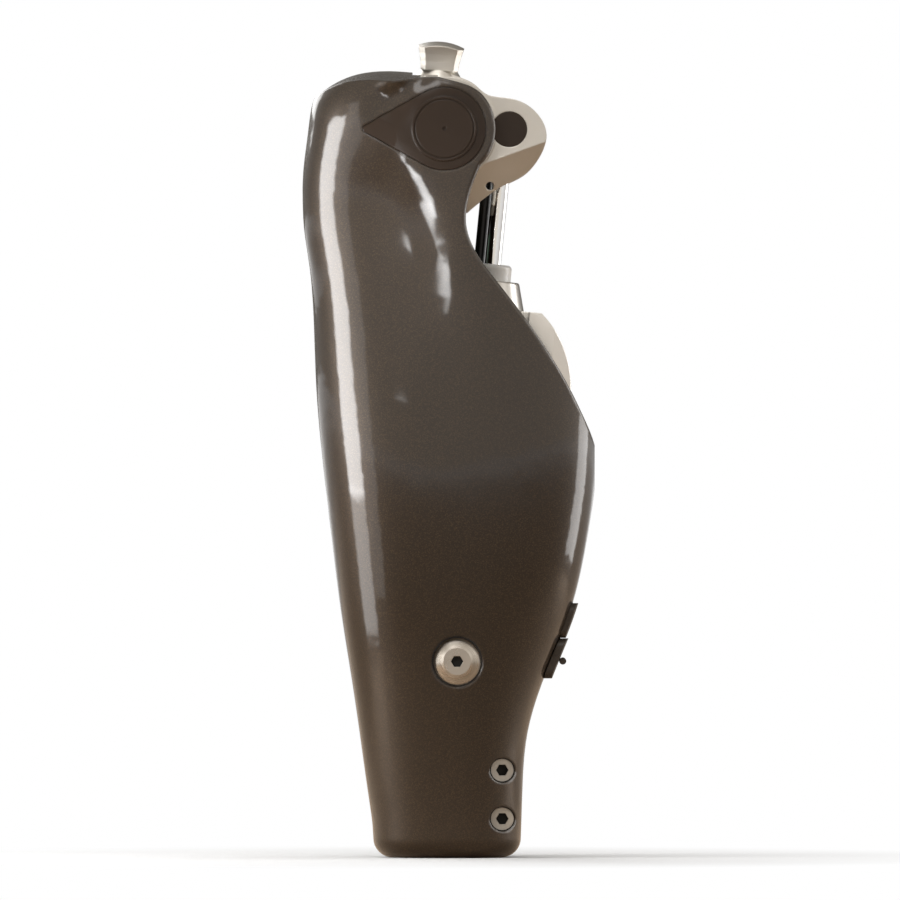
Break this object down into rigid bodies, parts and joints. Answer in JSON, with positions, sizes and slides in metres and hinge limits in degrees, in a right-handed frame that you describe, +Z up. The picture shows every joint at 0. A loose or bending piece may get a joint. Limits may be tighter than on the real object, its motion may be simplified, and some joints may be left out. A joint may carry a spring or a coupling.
{
  "type": "prosthetic knee joint",
  "caption": "Single-axis hydraulic prosthetic knee with a male pyramid on top, a rod-driven damping unit in an open-backed shin frame and a tube clamp at its base.",
  "frame": {"origin": "centre of the tube clamp's mouth at the base", "axes": "+Z up the shin tube's axis, +X to the back of the leg, +Y to the right"},
  "size_m": [0.1081, 0.0712, 0.302],
  "materials": {
    "frame": "fibre-reinforced moulding under a glossy dark taupe metallic lacquer",
    "cap": "satin dark brown moulding",
    "bearing": "ground steel",
    "axle": "ground hardened steel",
    "screw": "plain steel",
    "head": "satin blasted warm silver",
    "pin": "ground steel",
    "plug": "satin dark brown",
    "bush": "plain bearing bronze",
    "rod_end": "turned",
    "rod": "hard chrome, polished",
    "sensor": "black",
    "piston": "turned",
    "seal": "soft black",
    "stop": "translucent white",
    "gland": "pale satin",
    "bumper": "soft",
    "block": "satin anodised",
    "cover": "satin anodised light silver",
    "motor": "drawn steel can",
    "spool": "ground",
    "bolt": "turned steel",
    "insert": "plain steel",
    "port": "satin dark brown",
    "flap": "soft dark brown",
    "socket": "black with contacts",
    "carrier": "moulded black",
    "battery": "sleeved pack",
    "board": "coated board"
  },
  "bodies": {
    "shin": {"frame": "frame", "axle_cap_left": "cap", "axle_cap_right": "cap", "knee_bearings": "bearing", "pivot_bolt_left": "bolt", "pivot_bolt_right": "bolt", "clamp_screws": "screw", "clamp_inserts": "insert", "port_plate": "port", "charge_socket": "socket", "electronics_carrier": "carrier", "battery": "battery", "circuit_board": "board"},
    "head": {"knee_head": "head", "knee_axle": "axle", "axle_screws": "screw", "clevis_pin": "pin", "pin_plug_left": "plug", "pin_plug_right": "plug"},
    "rod": {"rod_eye": "rod_end", "eye_bush": "bush", "piston_rod": "rod", "sensor_rod": "sensor", "piston": "piston", "piston_seal": "seal"},
    "unit": {"cylinder_block": "block", "cylinder_head": "gland", "flexion_stop": "stop", "rod_seal": "seal", "extension_bumper": "bumper", "floating_piston": "piston", "pivot_bushes": "bush", "unit_cover": "cover", "valve_motors": "motor", "valve_spools": "spool"},
    "flap": {"charge_cover": "flap"}
  },
  "joints": [
    {"name": "knee_flexion", "type": "hinge", "parent": "shin", "child": "head", "pos_m": [-0.0006, 0, 0.2693], "axis": [0, 1, 0], "range_deg": [0, 124]},
    {"name": "rod_swing", "type": "hinge", "parent": "head", "child": "rod", "pos_m": [0.0234, 0, 0.2693], "axis": [0, 1, 0], "range_deg": [-135, 0]},
    {"name": "unit_stroke", "type": "slide", "parent": "rod", "child": "unit", "axis": [0.0977, 0, 0.9952], "range_m": [0, 0.0295]},
    {"name": "flap_hinge", "type": "hinge", "parent": "shin", "child": "flap", "pos_m": [0.0452, 0, 0.081], "axis": [0, -1, 0], "range_deg": [0, 100]}
  ],
  "couplings": [
    {"joint": "rod_swing", "follows": "knee_flexion", "ratio": -1.0795},
    {"joint": "unit_stroke", "follows": "knee_flexion", "m_per_rad": 0.01334}
  ]
}
